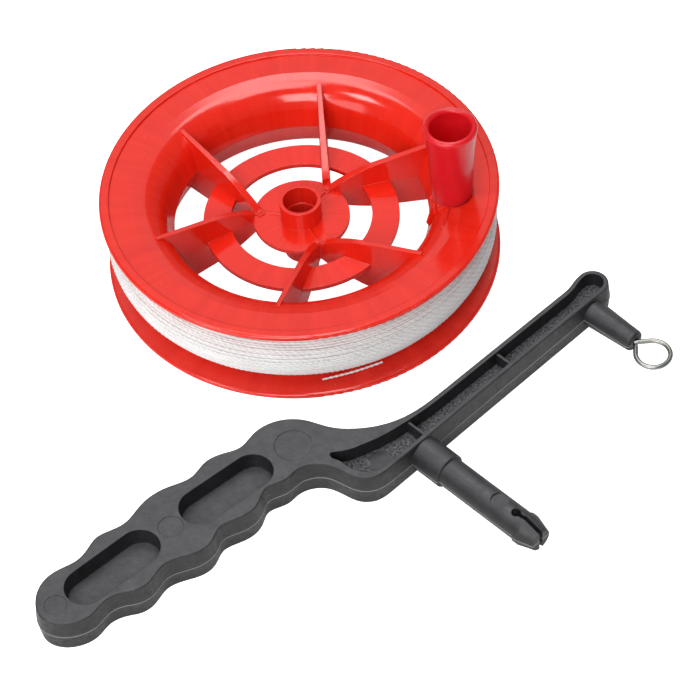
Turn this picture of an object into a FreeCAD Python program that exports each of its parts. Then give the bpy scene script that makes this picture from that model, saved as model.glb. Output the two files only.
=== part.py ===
import FreeCAD, Part
import math
import os
import re
import Sketcher
from FreeCAD import Placement, Rotation, Vector

# Kite line winder: a two-piece moulded reel with its wound line and turning crank knob, and beside it the
# handle whose split axle snaps into the reel's hub.
# World frame: Z up, origin on the ground at the reel's hub axis, Y away from the handle.
# Each half of the reel is drawn with the plane where the halves meet at z = 0 and its flange above it.
# The handle is drawn with its mid-height at z = 0, its arm along +X and its axle along -Y.

SIZES = {
    # Rim and flange of either half of the reel.
    "rim_radius": 100.0,
    "reel_height": 46.1,
    "rim_depth": 3.0,
    "rim_rounding": 1.3,
    "bead_width": 5.0,
    "bead_step": 1.2,
    "bead_rounding": 0.5,
    "band_radius": 83.0,
    "band_depth": 1.9,
    "shoulder_fall": 13.0,
    "shoulder_rounding": 16.0,
    "throat_radius": 64.3,
    "wall_lean": 17.4,
    "plate": 2.2,
    # Disc, ring and hub.
    "web_half": 1.2,
    "disc_radius": 24.5,
    "ring_inner_radius": 35.8,
    "ring_outer_radius": 49.65,
    "bore_radius": 7.9,
    "front_bore_radius": 8.7,
    "bore_ledge": 1.25,
    "front_hub_radius": 10.6,
    "front_hub_height": 12.3,
    "back_hub_radius": 10.2,
    "hub_ridge_width": 1.2,
    "hub_ridge_height": 0.7,
    # Ribs: each pair starts at a point of the disc and spreads to the flange.
    "rib_azimuth": 49.3,
    "rib_root_radius": 21.3,
    "rib_tip_radius": 77.0,
    "rib_spread": 30.0,
    "rib_foot_thickness": 4.4,
    "rib_draft": 3.0,
    "rib_bend": 25.0,
    "rib_half_bend": 11.5,
    "front_rib_root_height": 1.4,
    "front_rib_half_height": 8.3,
    "front_rib_bend_height": 13.15,
    "front_rib_tip_height": 20.2,
    "back_rib_root_height": 6.0,
    "back_rib_half_height": 12.0,
    "back_rib_bend_height": 16.4,
    "back_rib_tip_height": 20.4,
    # Pegs of the back half through the front half.
    "peg_radius": 1.3,
    "peg_clearance": 0.05,
    "peg_proud": 0.5,
    "peg_boss_radius": 2.5,
    "peg_boss_height": 2.0,
    # Crank knob on its post.
    "knob_orbit": 76.6,
    "knob_azimuth": -8.6,
    "knob_sink": 2.85,
    "knob_column_radius": 10.0,
    "knob_column_foot": 6.0,
    "flute_radius": 1.3,
    "flute_turn": 36.0,
    "flute_step": 24.0,
    "fin_thickness": 1.6,
    "front_fin_turn": 81.6,
    "front_fin_reach": 22.9,
    "front_fin_sink": 0.3,
    "wall_fin_turn": 31.6,
    "wall_fin_reach": 14.8,
    "wall_fin_foot": 3.0,
    "seat_clearance": 0.6,
    "post_radius": 5.0,
    "post_height": 12.2,
    "knob_fit": 0.05,
    "knob_end_play": 0.1,
    "knob_height": 47.0,
    "knob_base_radius": 10.1,
    "knob_waist_radius": 11.4,
    "knob_waist_height": 24.0,
    "knob_flare_radius": 12.0,
    "knob_flare_height": 34.0,
    "knob_lip_radius": 13.3,
    "knob_lip_height": 44.2,
    "knob_mouth_radius": 10.2,
    "knob_floor_radius": 8.6,
    "knob_base_rounding": 0.5,
    # Washer and self-tapping screw.
    "washer_radius": 7.0,
    "washer_thickness": 1.0,
    "screw_radius": 1.5,
    "screw_length": 10.0,
    "screw_point": 2.0,
    "screw_head_radius": 3.2,
    "screw_head_height": 2.2,
    "screw_head_rounding": 1.0,
    "screw_recess_width": 0.9,
    "screw_recess_length": 3.4,
    "screw_recess_depth": 1.2,
    "thread_fit": 0.02,
    # Wound line.
    "winding_radius": 98.5,
    "winding_edge_radius": 87.5,
    "winding_clearance": 0.1,
    "line_diameter": 1.4,
    # Handle body.
    "handle_thickness": 19.5,
    "handle_turn": 41.0,
    "handle_east": 60.4,
    "handle_south": 158.9,
    "parting_proud": 1.0,
    "handle_rounding": 0.8,
    "arm_length": 127.0,
    "arm_far_root": 31.2,
    "arm_far_tip": 30.4,
    "arm_near": 17.0,
    "arm_taper_start": 26.0,
    "grip_root": -22.0,
    "channel_root": -18.0,
    "boss_radius": 7.85,
    "boss_offset": 24.5,
    "boss_blend": 14.0,
    # Sunk grip panels and the arm's channel, cut from both faces.
    "grip_panel_radius": 10.2,
    "grip_panel_depth": 9.2,
    "panel_draft": 5.0,
    "floor_thickness": 2.4,
    "channel_wall": 2.6,
    "channel_near_wall": 2.2,
    "channel_end_radius": 5.5,
    "cross_rib_first": 3.0,
    "cross_rib_second": 62.0,
    "cross_rib_thickness": 1.2,
    "cross_rib_sink": 1.5,
    "ejector_mark_depth": 0.3,
    # Axle with its split snap end.
    "collar_radius": 8.7,
    "collar_chamfer": 0.5,
    "axle_radius": 7.5,
    "axle_barb_place": 46.8,
    "axle_barb_radius": 8.15,
    "axle_barb_length": 2.6,
    "axle_tip_radius": 5.6,
    "axle_length": 57.8,
    "axle_slot_width": 2.0,
    "keyhole_radius": 2.3,
    "keyhole_place": 42.4,
    "dimple_radius": 4.4,
    "dimple_place": 32.1,
    "dimple_depth": 1.1,
    # Stub at the tip and the screw eye in it.
    "stub_place": 8.4,
    "stub_root_radius": 7.15,
    "stub_tip_radius": 5.5,
    "stub_reach": 11.2,
    "stub_rounding": 1.6,
    "eye_wire_radius": 1.25,
    "eye_countersink_width": 0.8,
    "eye_countersink_depth": 1.8,
    "eye_ring_radius": 8.4,
    "eye_drop": 11.2,
    "eye_shank_length": 11.0,
    "eye_bend_radius": 2.6,
    "eye_end_gap": 2.9,
}

# Contour of the finger grip in the handle's own frame, from the foot of the arm on the near side, round the
# tail, to the head of the arm on the far side: a crest and a hollow for each finger on either side.
GRIP_CONTOUR = [
    (-31.0, 18.6), (-36.4, 23.9), (-38.8, 32.2), (-41.4, 40.3), (-46.8, 45.7), (-53.5, 47.8), (-60.0, 47.7),
    (-70.7, 50.6), (-77.0, 47.6), (-84.0, 46.2), (-91.3, 47.9), (-99.7, 50.0), (-108.0, 46.9), (-116.0, 47.2),
    (-122.2, 50.1), (-132.0, 53.3), (-143.0, 51.0), (-150.0, 52.5), (-154.5, 55.4), (-163.5, 58.0),
    (-171.0, 56.8), (-179.5, 58.7), (-186.3, 64.4), (-188.9, 72.4), (-185.2, 80.7), (-177.2, 86.4),
    (-170.5, 87.4), (-163.5, 86.0), (-157.4, 84.6), (-149.8, 85.8), (-142.6, 87.7), (-136.0, 86.2),
    (-128.4, 84.3), (-116.3, 86.6), (-100.5, 85.0), (-88.6, 81.3), (-79.4, 83.0), (-69.5, 80.6),
    (-61.6, 77.3), (-52.5, 78.6), (-37.4, 75.2), (-29.6, 67.0), (-24.0, 54.6), (-16.4, 45.2), (-7.3, 38.3),
    (4.0, 33.5),
]
# Inner rim of the arm's channel round its wide end, from the near side to the far side.
CHANNEL_CONTOUR = [
    (-28.8, 20.6), (-33.3, 25.6), (-35.2, 31.5), (-35.6, 37.5), (-36.6, 41.5), (-35.6, 43.3), (-32.0, 41.4),
    (-22.5, 36.4), (-12.3, 33.1), (-1.2, 31.0), (10.0, 29.5),
]
# Ends of the two sunk panels' centre lines.
GRIP_PANELS = {
    "tail": ((-163.7, 70.3), (-133.3, 68.7)),
    "palm": ((-98.0, 65.3), (-67.8, 62.5)),
}
# Ejector pins' marks in the handle's own frame: centre and radius.
GRIP_MARKS = [
    ("-180.0", "72.7", "5.2"),
    ("-115.1", "66.8", "6.0"),
    ("-43.9", "59.6", "9.0"),
]
FLOOR_MARK = ("-18.0", "27.6", "6.0")
# Centre line of the line's loose end in the world frame: it leaves the winding over the back flange.
TAIL_ROUTE = [(34.0, -84.4, 4.85), (24.0, -87.8, 4.85), (14.2, -90.4, 4.85), (4.0, -92.2, 4.85)]

# Facets across the quarter round on the handle's face edges.
EDGE_STEPS = 3

doc = FreeCAD.newDocument("kite_line_winder")
sheet = doc.addObject("Spreadsheet::Sheet", "sizes")
for row, (alias, size) in enumerate(SIZES.items(), start=1):
    sheet.set(f"A{row}", alias)
    sheet.set(f"B{row}", str(size))
    sheet.setAlias(f"B{row}", alias)
doc.recompute()


def number(expression):
    """The plain number that an expression over the sheet's aliases gives."""
    result = sheet.evalExpression(expression)
    return float(getattr(result, "Value", result))


def bound(expression):
    """The same expression as another object of the document reads it."""
    return re.sub(r"[a-z][a-z_]+", lambda word: f"sizes.{word[0]}" if word[0] in SIZES else word[0], expression)


def bind(target, **properties):
    """Binds properties of an object; a double underscore stands for a dot in the property's path."""
    for name, expression in properties.items():
        target.setExpression(name.replace("__", "."), bound(expression))


def new_body(name):
    body = doc.addObject("PartDesign::Body", name)
    body.Label = name
    return body


def role_plane(body, role):
    return next(item for item in body.Origin.OriginFeatures if item.Role == role)


def new_sketch(body, name, role, offset=None, **bindings):
    """A sketch on one of the body's own origin planes, moved by a bound offset in that plane's frame."""
    sketch = body.newObject("Sketcher::SketchObject", name)
    sketch.AttachmentSupport = [(role_plane(body, role), "")]
    sketch.MapMode = "FlatFace"
    if offset is not None:
        sketch.AttachmentOffset = offset
    bind(sketch, **bindings)
    return sketch


def pin_point(sketch, geometry, position, x, y):
    """Holds one point of a sketch at two expressions."""
    rows = sketch.addConstraint([
        Sketcher.Constraint("DistanceX", -1, 1, geometry, position, number(x)),
        Sketcher.Constraint("DistanceY", -1, 1, geometry, position, number(y)),
    ])
    sketch.setExpression(f"Constraints[{rows[0]}]", bound(x))
    sketch.setExpression(f"Constraints[{rows[1]}]", bound(y))


def draw_profile(sketch, corners):
    """A closed profile; a corner with a third item is a point on the arc between its neighbours."""
    points = [Vector(number(corner[0]), number(corner[1]), 0) for corner in corners]
    ends = [index for index, corner in enumerate(corners) if len(corner) == 2]
    for order, first in enumerate(ends):
        last = ends[(order + 1) % len(ends)]
        middle = (first + 1) % len(corners)
        curved = len(corners[middle]) == 3
        if curved:
            line = sketch.addGeometry(Part.Arc(points[first], points[middle], points[last]))
        else:
            line = sketch.addGeometry(Part.LineSegment(points[first], points[last]))
        start = min((1, 2), key=lambda side: sketch.getPoint(line, side).distanceToPoint(points[first]))
        pin_point(sketch, line, start, *corners[first])
        pin_point(sketch, line, 3 - start, *corners[last])
        if curved:
            mark = sketch.addGeometry(Part.Point(points[middle]), True)
            pin_point(sketch, mark, 1, *corners[middle][:2])
            sketch.addConstraint(Sketcher.Constraint("PointOnObject", mark, 1, line))


def draw_circle(sketch, x, y, radius):
    ring = sketch.addGeometry(Part.Circle(Vector(number(x), number(y), 0), Vector(0, 0, 1), number(radius)))
    pin_point(sketch, ring, 3, x, y)
    row = sketch.addConstraint(Sketcher.Constraint("Radius", ring, number(radius)))
    sketch.setExpression(f"Constraints[{row}]", bound(radius))


def turn(body, name, kind, sketch):
    """A full turn of a sketch about its own vertical axis, added or cut away."""
    feature = body.newObject(f"PartDesign::{kind}", name)
    feature.Refine = False
    feature.Profile = sketch
    feature.ReferenceAxis = (sketch, ["V_Axis"])
    feature.Angle = 360.0
    return feature


def push(body, name, kind, sketch, length, reverse=False, both_ways=False, draft=None):
    """A pad or pocket along the sketch's normal, or against it."""
    feature = body.newObject(f"PartDesign::{kind}", name)
    feature.Refine = False
    feature.Profile = sketch
    feature.Reversed = reverse
    if both_ways:
        feature.SideType = "Symmetric"
    bind(feature, Length=length)
    if draft is not None:
        bind(feature, TaperAngle=draft)
    return feature


def threefold(body, name, features):
    pattern = body.newObject("PartDesign::PolarPattern", name)
    pattern.Refine = False
    pattern.Originals = features
    pattern.Axis = (role_plane(body, "Z_Axis"), [""])
    pattern.Angle = 360.0
    pattern.Occurrences = 3
    body.Tip = pattern
    return pattern


def circles_at(shape, radius, height):
    """Names of a shape's circular edges of one radius at one height."""
    names = []
    for index, edge in enumerate(shape.Edges, start=1):
        if not isinstance(edge.Curve, Part.Circle):
            continue
        if abs(edge.Curve.Radius - radius) < 0.01 and abs(edge.CenterOfMass.z - height) < 0.01:
            names.append(f"Edge{index}")
    return names


def round_circles(body, name, base, radius, places):
    """Rounds the circular edges of a feature at places of (radius, height)."""
    doc.recompute()
    edges = []
    for place in places:
        edges += circles_at(base.Shape, number(place[0]), number(place[1]))
    fillet = body.newObject("PartDesign::Fillet", name)
    fillet.Base = (base, edges)
    bind(fillet, Radius=radius)
    return fillet


# ---------------------------------------------------------------- shared heights and corners of the reel

HALF = "reel_height / 2"
BEAD_INNER = "rim_radius - bead_width"
# How far the middle of the rim's rounding lies inside its corner.
ROUND = "rim_rounding * (1 - cos(45))"
BEAD_ROUND = "bead_rounding * (1 - cos(45))"
BAND_TOP = f"({HALF} - band_depth)"
# Corner where the leaning dish wall meets the flange, on the dish side and on the line's side.
CORNER_UP = (f"(({BAND_TOP} - (band_radius - throat_radius) * tan(shoulder_fall))"
             " / (1 - tan(wall_lean) * tan(shoulder_fall)))")
CORNER_OUT = f"(throat_radius + {CORNER_UP} * tan(wall_lean))"
SKIN = "plate / (1 + sin(wall_lean + shoulder_fall))"
LINE_CORNER_OUT = f"({CORNER_OUT} + {SKIN} * (cos(wall_lean) + sin(shoulder_fall)))"
LINE_CORNER_UP = f"({CORNER_UP} - {SKIN} * (sin(wall_lean) + cos(shoulder_fall)))"
LINE_THROAT = "(throat_radius + plate / cos(wall_lean))"
LINE_ROUNDING = "(shoulder_rounding - plate)"
HALF_TURN = "((90 - wall_lean - shoulder_fall) / 2)"
INWARD = "((90 + wall_lean - shoulder_fall) / 2)"
LINE_BEAD_UP = f"({HALF} - bead_step - plate)"
LINE_BAND_UP = f"({BAND_TOP} - plate)"
# Place of the crank knob, and the height of its seat, a little under the rim.
KNOB_X = "knob_orbit * cos(knob_azimuth)"
KNOB_Y = "knob_orbit * sin(knob_azimuth)"
KNOB_SEAT = f"({HALF} - knob_sink)"
# A rib from its root towards its tip, seen from the root point's own radius.
RIB_OUT = "(rib_tip_radius * cos(rib_spread) - rib_root_radius)"
RIB_SIDE = "(rib_tip_radius * sin(rib_spread))"
RIB_LENGTH = f"hypot({RIB_OUT}; {RIB_SIDE})"
RIB_ANGLE = f"(atan2({RIB_SIDE}; {RIB_OUT}) / 1 deg)"


def rounded_corner(radius, out, up):
    """The arc that rounds a corner between dish wall and flange, as its start, a point on it and its end."""
    reach = f"{radius} * tan({HALF_TURN})"
    sink = f"{radius} * (1 / cos({HALF_TURN}) - 1)"
    return [
        (f"{out} - {reach} * sin(wall_lean)", f"{up} - {reach} * cos(wall_lean)"),
        (f"{out} + {sink} * cos({INWARD})", f"{up} - {sink} * sin({INWARD})", "through"),
        (f"{out} + {reach} * cos(shoulder_fall)", f"{up} + {reach} * sin(shoulder_fall)"),
    ]


def add_rib(body, name, azimuth, lean, heights):
    """An upright rib that thins upwards from its foot; a cut along its side view gives its top."""
    root_height, half_height, bend_height, tip_height = heights
    plan = new_sketch(
        body, f"{name}_plan", "XY_Plane", Placement(Vector(), Rotation(Vector(0, 0, 1), 1.0)),
        AttachmentOffset__Base__x=f"rib_root_radius * cos({azimuth})",
        AttachmentOffset__Base__y=f"rib_root_radius * sin({azimuth})",
        AttachmentOffset__Rotation__Angle=f"{azimuth} + {lean}")
    draw_profile(plan, [
        ("0", "-rib_foot_thickness / 2"),
        (RIB_LENGTH, "-rib_foot_thickness / 2"),
        (RIB_LENGTH, "rib_foot_thickness / 2"),
        ("0", "rib_foot_thickness / 2"),
    ])
    upright = push(body, name, "Pad", plan, tip_height, draft="-rib_draft")
    side = new_sketch(
        body, f"{name}_side", "XZ_Plane", Placement(Vector(), Rotation(Vector(0, 1, 0), 1.0)),
        AttachmentOffset__Base__x=f"rib_root_radius * cos({azimuth})",
        AttachmentOffset__Base__z=f"-rib_root_radius * sin({azimuth})",
        AttachmentOffset__Rotation__Angle=f"{azimuth} + {lean}")
    draw_profile(side, [
        ("0", root_height),
        ("rib_half_bend", half_height, "through"),
        ("rib_bend", bend_height),
        (RIB_LENGTH, tip_height),
        (RIB_LENGTH, f"{tip_height} + rib_foot_thickness"),
        ("-rib_foot_thickness / 2", f"{tip_height} + rib_foot_thickness"),
        ("-rib_foot_thickness / 2", root_height),
    ])
    top = push(body, f"{name}_top", "Pocket", side, "2 * rib_foot_thickness", both_ways=True)
    return [upright, top]


def reel_half(name, side, azimuth, hub_radius, hub_height):
    """One moulded half of the reel up to its ribs, with the line's space still filled."""
    body = new_body(name)
    dish = new_sketch(body, "dish_section", "XZ_Plane")
    draw_profile(dish, [
        ("throat_radius", "0"),
        (CORNER_OUT, CORNER_UP),
        ("band_radius", BAND_TOP),
        (BEAD_INNER, f"{HALF} - bead_step"),
        (BEAD_INNER, f"{HALF} - bead_rounding"),
        (f"{BEAD_INNER} + {BEAD_ROUND}", f"{HALF} - {BEAD_ROUND}", "through"),
        (f"{BEAD_INNER} + bead_rounding", HALF),
        ("rim_radius - rim_rounding", HALF),
        (f"rim_radius - {ROUND}", f"{HALF} - {ROUND}", "through"),
        ("rim_radius", f"{HALF} - rim_rounding"),
        ("rim_radius", "0"),
    ])
    flange = turn(body, "flange", "Revolution", dish)
    shoulder = round_circles(body, "shoulder", flange, "shoulder_rounding", [(CORNER_OUT, CORNER_UP)])
    centre = new_sketch(body, "centre_section", "XZ_Plane")
    draw_profile(centre, [
        ("bore_radius", "0"),
        ("disc_radius", "0"),
        ("disc_radius", "web_half"),
        (hub_radius, "web_half"),
        (hub_radius, hub_height),
        ("bore_radius", hub_height),
    ])
    hub = turn(body, "disc_and_hub", "Revolution", centre)
    middle = new_sketch(body, "ring_section", "XZ_Plane")
    draw_profile(middle, [
        ("ring_inner_radius", "0"),
        ("ring_outer_radius", "0"),
        ("ring_outer_radius", "web_half"),
        ("ring_inner_radius", "web_half"),
    ])
    ring = turn(body, "middle_ring", "Revolution", middle)
    heights = [f"{side}_rib_{place}_height" for place in ("root", "half", "bend", "tip")]
    left = add_rib(body, "left_rib", azimuth, RIB_ANGLE, heights)
    right = add_rib(body, "right_rib", azimuth, f"(0 - {RIB_ANGLE})", heights)
    threefold(body, "ribs", left + right)
    return body


def clear_line_space(body):
    """Cuts the space of the wound line, which leaves the flange and the dish wall one plate thick."""
    section = new_sketch(body, "line_space_section", "XZ_Plane")
    beyond = "rim_radius + rim_depth"
    under = f"{HALF} - rim_depth"
    draw_profile(section, [
        (LINE_THROAT, "0"),
        *rounded_corner(LINE_ROUNDING, LINE_CORNER_OUT, LINE_CORNER_UP),
        ("band_radius", LINE_BAND_UP),
        (BEAD_INNER, LINE_BEAD_UP),
        ("rim_radius - rim_rounding", under),
        (f"rim_radius - {ROUND}", f"{under} + {ROUND}", "through"),
        ("rim_radius", f"{under} + rim_rounding"),
        (beyond, f"{under} + rim_rounding"),
        (beyond, "0"),
    ])
    return turn(body, "line_space", "Groove", section)


def at_root(azimuth):
    return f"rib_root_radius * cos({azimuth})", f"rib_root_radius * sin({azimuth})"


def add_fin(body, name, bearing, corners):
    """An upright fin on the knob's column, drawn from the knob's axis outwards."""
    side = new_sketch(
        body, f"{name}_side", "XZ_Plane", Placement(Vector(), Rotation(Vector(0, 1, 0), 1.0)),
        AttachmentOffset__Base__x=KNOB_X,
        AttachmentOffset__Base__z=f"-({KNOB_Y})",
        AttachmentOffset__Rotation__Angle=bearing)
    draw_profile(side, corners)
    push(body, name, "Pad", side, "fin_thickness", both_ways=True)


def build_front_half():
    """Front half: hub with a counterbore, peg bosses, and the column and post that carry the knob."""
    body = reel_half("reel_front_half", "front", "rib_azimuth", "front_hub_radius", "front_hub_height")
    # Peg bosses at the roots of the ribs, each with a low ridge to the hub.
    boss = new_sketch(body, "peg_boss_plan", "XY_Plane")
    draw_circle(boss, *at_root("rib_azimuth"), "peg_boss_radius")
    bosses = push(body, "peg_boss", "Pad", boss, "peg_boss_height")
    ridge = new_sketch(
        body, "hub_ridge_plan", "XY_Plane", Placement(Vector(), Rotation(Vector(0, 0, 1), 1.0)),
        AttachmentOffset__Rotation__Angle="rib_azimuth")
    draw_profile(ridge, [
        ("front_hub_radius - hub_ridge_width", "-hub_ridge_width / 2"),
        ("rib_root_radius", "-hub_ridge_width / 2"),
        ("rib_root_radius", "hub_ridge_width / 2"),
        ("front_hub_radius - hub_ridge_width", "hub_ridge_width / 2"),
    ])
    ridges = push(body, "hub_ridge", "Pad", ridge, "web_half + hub_ridge_height")
    threefold(body, "bosses_and_ridges", [bosses, ridges])
    peg = new_sketch(body, "peg_hole_plan", "XY_Plane")
    draw_circle(peg, *at_root("rib_azimuth"), "peg_radius + peg_clearance")
    hole = push(body, "peg_hole", "Pocket", peg, "2 * reel_height", both_ways=True)
    threefold(body, "peg_holes", [hole])
    # Column under the knob, with flutes down its side towards the hub.
    column = new_sketch(body, "knob_column_plan", "XY_Plane", Placement(),
                        AttachmentOffset__Base__z="knob_column_foot")
    draw_circle(column, KNOB_X, KNOB_Y, "knob_column_radius")
    push(body, "knob_column", "Pad", column, f"{KNOB_SEAT} - knob_column_foot")
    flutes = new_sketch(body, "flute_plan", "XY_Plane", Placement(), AttachmentOffset__Base__z="knob_column_foot")
    for steps in (-1, 0, 1):
        heading = f"(knob_azimuth + 180 + flute_turn + {steps} * flute_step)"
        draw_circle(flutes, f"{KNOB_X} + knob_column_radius * cos({heading})",
                    f"{KNOB_Y} + knob_column_radius * sin({heading})", "flute_radius")
    push(body, "flutes", "Pad", flutes, f"{KNOB_SEAT} - knob_column_foot - flute_radius")
    # Two fins that prop the column, one along the shoulder and one down the dish wall.
    add_fin(body, "front_fin", "knob_azimuth + 180 + front_fin_turn", [
        ("knob_column_radius / 2", f"{KNOB_SEAT} - plate"),
        ("front_fin_reach", f"{KNOB_SEAT} - plate"),
        ("front_fin_reach", f"{KNOB_SEAT} - front_fin_sink"),
        ("knob_column_radius", KNOB_SEAT),
        ("knob_column_radius / 2", KNOB_SEAT),
    ])
    add_fin(body, "wall_fin", "knob_azimuth + 180 + wall_fin_turn", [
        ("knob_column_radius / 2", "wall_fin_foot"),
        ("wall_fin_reach - fin_thickness", "wall_fin_foot"),
        ("wall_fin_reach", "2 * wall_fin_foot"),
        ("knob_column_radius + fin_thickness", f"{KNOB_SEAT} - 2 * plate"),
        ("knob_column_radius / 2", f"{KNOB_SEAT} - 2 * plate"),
    ])
    # Round seat that clears the turning knob, and the post it turns on, with the screw's pilot hole.
    seat = new_sketch(body, "knob_seat_plan", "XY_Plane", Placement(), AttachmentOffset__Base__z=KNOB_SEAT)
    draw_circle(seat, KNOB_X, KNOB_Y, "knob_column_radius + seat_clearance")
    push(body, "knob_seat", "Pocket", seat, "reel_height", reverse=True)
    post = new_sketch(body, "knob_post_plan", "XY_Plane", Placement(), AttachmentOffset__Base__z=KNOB_SEAT)
    draw_circle(post, KNOB_X, KNOB_Y, "post_radius")
    push(body, "knob_post", "Pad", post, "post_height")
    pilot = new_sketch(body, "pilot_plan", "XY_Plane", Placement(),
                       AttachmentOffset__Base__z=f"{KNOB_SEAT} + post_height")
    draw_circle(pilot, KNOB_X, KNOB_Y, "screw_radius + thread_fit")
    push(body, "pilot_hole", "Pocket", pilot, "screw_length + thread_fit")
    counterbore = new_sketch(body, "counterbore_plan", "XY_Plane", Placement(),
                             AttachmentOffset__Base__z="bore_ledge")
    draw_circle(counterbore, "0", "0", "front_bore_radius")
    push(body, "counterbore", "Pocket", counterbore, "reel_height", reverse=True)
    body.Tip = clear_line_space(body)
    bind(body, Placement__Base__z=HALF)
    return body


def build_back_half():
    """Back half, drawn flange up and laid face down: plain bore, and pegs beyond the meeting plane."""
    azimuth = "(0 - rib_azimuth)"
    body = reel_half("reel_back_half", "back", azimuth, "back_hub_radius", HALF)
    clear_line_space(body)
    peg = new_sketch(body, "peg_plan", "XY_Plane")
    draw_circle(peg, *at_root(azimuth), "peg_radius")
    shank = push(body, "peg", "Pad", peg, "peg_boss_height + peg_proud", reverse=True)
    threefold(body, "pegs", [shank])
    body.Placement = Placement(Vector(), Rotation(Vector(1, 0, 0), 180.0))
    bind(body, Placement__Base__z=HALF)
    return body


def place_on_knob_axis(body, height):
    """Stands a piece on the knob's axis, at a height above the knob's seat."""
    bind(body, Placement__Base__x=KNOB_X, Placement__Base__y=KNOB_Y,
         Placement__Base__z=f"{HALF} + {KNOB_SEAT} + {height}")


def build_knob():
    """Hollow crank knob: a thick floor that bears on the post, and a wall that flares to a rolled mouth."""
    body = new_body("crank_knob")
    floor_top = "(post_height - 2 * knob_end_play)"
    rolled = "(knob_lip_radius + knob_mouth_radius) / 2"
    section = new_sketch(body, "knob_section", "XZ_Plane")
    draw_profile(section, [
        ("post_radius + knob_fit", "0"),
        ("knob_base_radius", "0"),
        ("knob_waist_radius", "knob_waist_height"),
        ("knob_flare_radius", "knob_flare_height", "through"),
        ("knob_lip_radius", "knob_lip_height"),
        ("knob_lip_radius - 0.15 * (knob_lip_radius - knob_mouth_radius)",
         "knob_height - 0.2 * (knob_height - knob_lip_height)", "through"),
        (rolled, "knob_height"),
        ("knob_mouth_radius + 0.15 * (knob_lip_radius - knob_mouth_radius)",
         "knob_height - 0.2 * (knob_height - knob_lip_height)", "through"),
        ("knob_mouth_radius", "knob_lip_height"),
        ("knob_floor_radius", floor_top),
        ("post_radius + knob_fit", floor_top),
    ])
    wall = turn(body, "knob_wall", "Revolution", section)
    round_circles(body, "knob_base_edge", wall, "knob_base_rounding", [("knob_base_radius", "0")])
    place_on_knob_axis(body, "knob_end_play")
    return body


def build_washer():
    """Flat washer clamped on the post's end."""
    body = new_body("knob_washer")
    section = new_sketch(body, "washer_section", "XZ_Plane")
    draw_profile(section, [
        ("screw_radius + knob_fit", "0"),
        ("washer_radius", "0"),
        ("washer_radius", "washer_thickness"),
        ("screw_radius + knob_fit", "washer_thickness"),
    ])
    turn(body, "washer_ring", "Revolution", section)
    place_on_knob_axis(body, "post_height")
    return body


def build_screw():
    """Pan-head self-tapping screw with a cross recess, drawn with the underside of its head at z = 0."""
    body = new_body("knob_screw")
    shank = "(screw_length - washer_thickness)"
    section = new_sketch(body, "screw_section", "XZ_Plane")
    draw_profile(section, [
        ("0", f"0 - {shank}"),
        ("screw_radius", f"screw_point - {shank}"),
        ("screw_radius", "0"),
        ("screw_head_radius", "0"),
        ("screw_head_radius", "screw_head_height"),
        ("0", "screw_head_height"),
    ])
    solid = turn(body, "screw_solid", "Revolution", section)
    round_circles(body, "head_edge", solid, "screw_head_rounding", [("screw_head_radius", "screw_head_height")])
    cross = new_sketch(body, "recess_plan", "XY_Plane", Placement(), AttachmentOffset__Base__z="screw_head_height")
    arm, half = "screw_recess_length / 2", "screw_recess_width / 2"
    draw_profile(cross, [
        (arm, f"-{half}"), (arm, half), (half, half), (half, arm), (f"-{half}", arm), (f"-{half}", half),
        (f"-{arm}", half), (f"-{arm}", f"-{half}"), (f"-{half}", f"-{half}"), (f"-{half}", f"-{arm}"),
        (half, f"-{arm}"), (half, f"-{half}"),
    ])
    push(body, "cross_recess", "Pocket", cross, "screw_recess_depth")
    place_on_knob_axis(body, "post_height + washer_thickness")
    return body


def build_winding():
    """The wound line as one closed ring: it fills the space between the flanges and bulges between them."""
    body = new_body("line_winding")
    under = f"({LINE_BAND_UP} - winding_clearance)"
    edge_up = (f"({under} + (winding_edge_radius - band_radius) * ({LINE_BEAD_UP} - {LINE_BAND_UP})"
               f" / ({BEAD_INNER} - band_radius))")
    corner = rounded_corner(f"({LINE_ROUNDING} - winding_clearance)", f"({LINE_CORNER_OUT} + winding_clearance)",
                            f"({LINE_CORNER_UP} - winding_clearance)")
    mirror = [(point[0], f"0 - ({point[1]})", *point[2:]) for point in reversed(corner)]
    section = new_sketch(body, "winding_section", "XZ_Plane")
    draw_profile(section, [
        (f"{LINE_THROAT} + winding_clearance", "0"),
        *corner,
        ("band_radius", under),
        ("winding_edge_radius", edge_up),
        ("winding_radius", "0", "through"),
        ("winding_edge_radius", f"0 - {edge_up}"),
        ("band_radius", f"0 - {under}"),
        *mirror,
    ])
    turn(body, "winding_ring", "Revolution", section)
    bind(body, Placement__Base__z=HALF)
    return body


def cord_tube(name, route, radius):
    """A tube along straight runs joined by arcs as large as the two runs at each point allow."""
    points = [Vector(*point) for point in route]
    edges = []
    start = points[0]
    for before, corner, after in zip(points, points[1:], points[2:]):
        arriving = (corner - before).normalize()
        leaving = (after - corner).normalize()
        bend = arriving.getAngle(leaving)
        reach = 0.45 * min((corner - before).Length, (after - corner).Length)
        print(f"{name}: radius {reach / math.tan(bend / 2):.1f} mm")
        enter = corner - arriving * reach
        leave = corner + leaving * reach
        towards = (leaving - arriving).normalize()
        middle = corner + towards * (reach * math.tan(bend / 4))
        edges += [Part.LineSegment(start, enter).toShape(), Part.Arc(enter, middle, leave).toShape()]
        start = leave
    edges.append(Part.LineSegment(start, points[-1]).toShape())
    path = Part.Wire(edges)
    section = Part.Wire(Part.makeCircle(radius, points[0], points[1] - points[0]))
    tube = path.makePipeShell([section], True, False)
    expected = math.pi * radius ** 2 * path.Length
    print(f"{name}: length {path.Length:.1f} mm, volume {tube.Volume / expected:.4f} of section times length")
    piece = doc.addObject("Part::Feature", name)
    piece.Label = name
    piece.Shape = tube
    return piece


# ---------------------------------------------------------------- handle


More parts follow.
